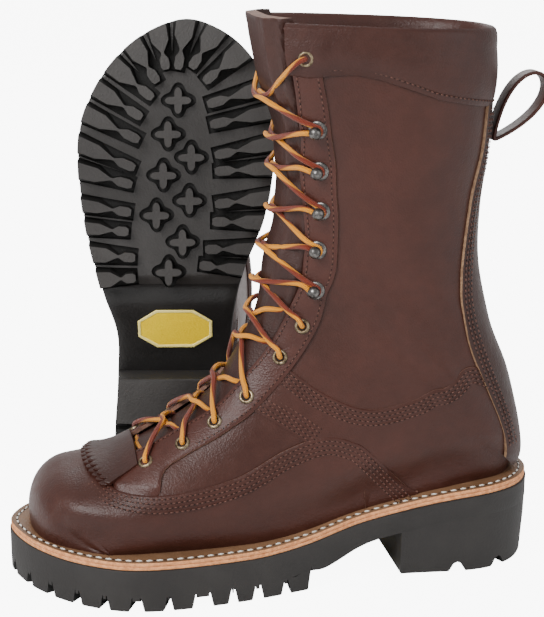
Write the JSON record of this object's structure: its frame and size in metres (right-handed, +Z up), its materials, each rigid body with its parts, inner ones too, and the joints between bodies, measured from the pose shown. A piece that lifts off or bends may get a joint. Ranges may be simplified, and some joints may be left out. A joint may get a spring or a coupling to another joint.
{
  "type": "fire boots",
  "caption": "Pair of tall brown leather lace-up fire boots with lugged rubber soles, one standing and one lying with its sole to the front.",
  "frame": {"origin": "centre of the pair's outer box, on the floor", "axes": "+Z up; the standing boot's toe points along -X and its outer side faces -Y; the other boot lies behind it, towards +Y"},
  "size_m": [0.312, 0.457, 0.3121],
  "materials": {
    "upper_leather": "oiled full-grain leather, slightly waxy",
    "trim_leather": "oiled leather, darker",
    "sole_rubber": "moulded charcoal rubber",
    "badge_yellow": "moulded rubber inlay",
    "welt_leather": "cut and burnished sole leather",
    "cork": "pressed cork",
    "shank_steel": "plain steel",
    "insole_leather": "natural leather",
    "toe_stiffener": "moulded composite",
    "counter_board": "pressed leather board",
    "lining_leather": "soft lining leather",
    "eyelet_brass": "antique brass",
    "hook_metal": "blackened steel, worn bright",
    "lace_cord": "two-colour braided cord"
  },
  "bodies": {
    "left_boot": {"left_outsole": "sole_rubber", "left_heel_base": "sole_rubber", "left_heel_lift": "sole_rubber", "left_sole_badge": "badge_yellow", "left_midsole": "welt_leather", "left_welt": "welt_leather", "left_cork_filler": "cork", "left_steel_shank": "shank_steel", "left_insole": "insole_leather", "left_toe_box": "toe_stiffener", "left_heel_counter": "counter_board", "left_lining": "lining_leather", "left_vamp": "upper_leather", "left_outer_vamp_side": "upper_leather", "left_inner_vamp_side": "upper_leather", "left_outer_quarter": "upper_leather", "left_inner_quarter": "upper_leather", "left_outer_shaft": "upper_leather", "left_inner_shaft": "upper_leather", "left_outer_eyestay": "upper_leather", "left_inner_eyestay": "upper_leather", "left_collar": "trim_leather", "left_backstay": "trim_leather", "left_tongue": "trim_leather", "left_kiltie": "trim_leather", "left_eyelets": "eyelet_brass", "left_lace_hooks": "hook_metal", "left_lace": "lace_cord"},
    "left_tongue_flap": {"left_tongue_top": "trim_leather"},
    "left_loop": {"left_pull_loop": "upper_leather"},
    "right_boot": {"right_outsole": "sole_rubber", "right_heel_base": "sole_rubber", "right_heel_lift": "sole_rubber", "right_sole_badge": "badge_yellow", "right_midsole": "welt_leather", "right_welt": "welt_leather", "right_cork_filler": "cork", "right_steel_shank": "shank_steel", "right_insole": "insole_leather", "right_toe_box": "toe_stiffener", "right_heel_counter": "counter_board", "right_lining": "lining_leather", "right_vamp": "upper_leather", "right_outer_vamp_side": "upper_leather", "right_inner_vamp_side": "upper_leather", "right_outer_quarter": "upper_leather", "right_inner_quarter": "upper_leather", "right_outer_shaft": "upper_leather", "right_inner_shaft": "upper_leather", "right_outer_eyestay": "upper_leather", "right_inner_eyestay": "upper_leather", "right_collar": "trim_leather", "right_backstay": "trim_leather", "right_tongue": "trim_leather", "right_kiltie": "trim_leather", "right_eyelets": "eyelet_brass", "right_lace_hooks": "hook_metal", "right_lace": "lace_cord"},
    "right_tongue_flap": {"right_tongue_top": "trim_leather"},
    "right_loop": {"right_pull_loop": "upper_leather"}
  },
  "joints": [
    {"name": "right_boot_lift", "type": "slide", "parent": "left_boot", "child": "right_boot", "axis": [0, 0, 1], "range_m": [0, 0.35]},
    {"name": "left_tongue_fold", "type": "hinge", "parent": "left_boot", "child": "left_tongue_flap", "pos_m": [-0.013, -0.1705, 0.297], "axis": [0, -1, 0], "range_deg": [-8, 40], "stiffness_Nm_per_rad": 0.05},
    {"name": "right_tongue_fold", "type": "hinge", "parent": "right_boot", "child": "right_tongue_flap", "pos_m": [0.00122, 0.20997, 0.13153], "axis": [0.9848, -0.1736, 0], "range_deg": [-8, 40], "stiffness_Nm_per_rad": 0.05},
    {"name": "left_loop_swing", "type": "hinge", "parent": "left_boot", "child": "left_loop", "pos_m": [0.1195, -0.1705, 0.245], "axis": [0, 1, 0], "range_deg": [-4, 90], "stiffness_Nm_per_rad": 0.05},
    {"name": "right_loop_swing", "type": "hinge", "parent": "right_boot", "child": "right_loop", "pos_m": [-0.01021, 0.14518, 0.00531], "axis": [0.9848, -0.1736, 0], "range_deg": [0, 140], "stiffness_Nm_per_rad": 0.02}
  ]
}
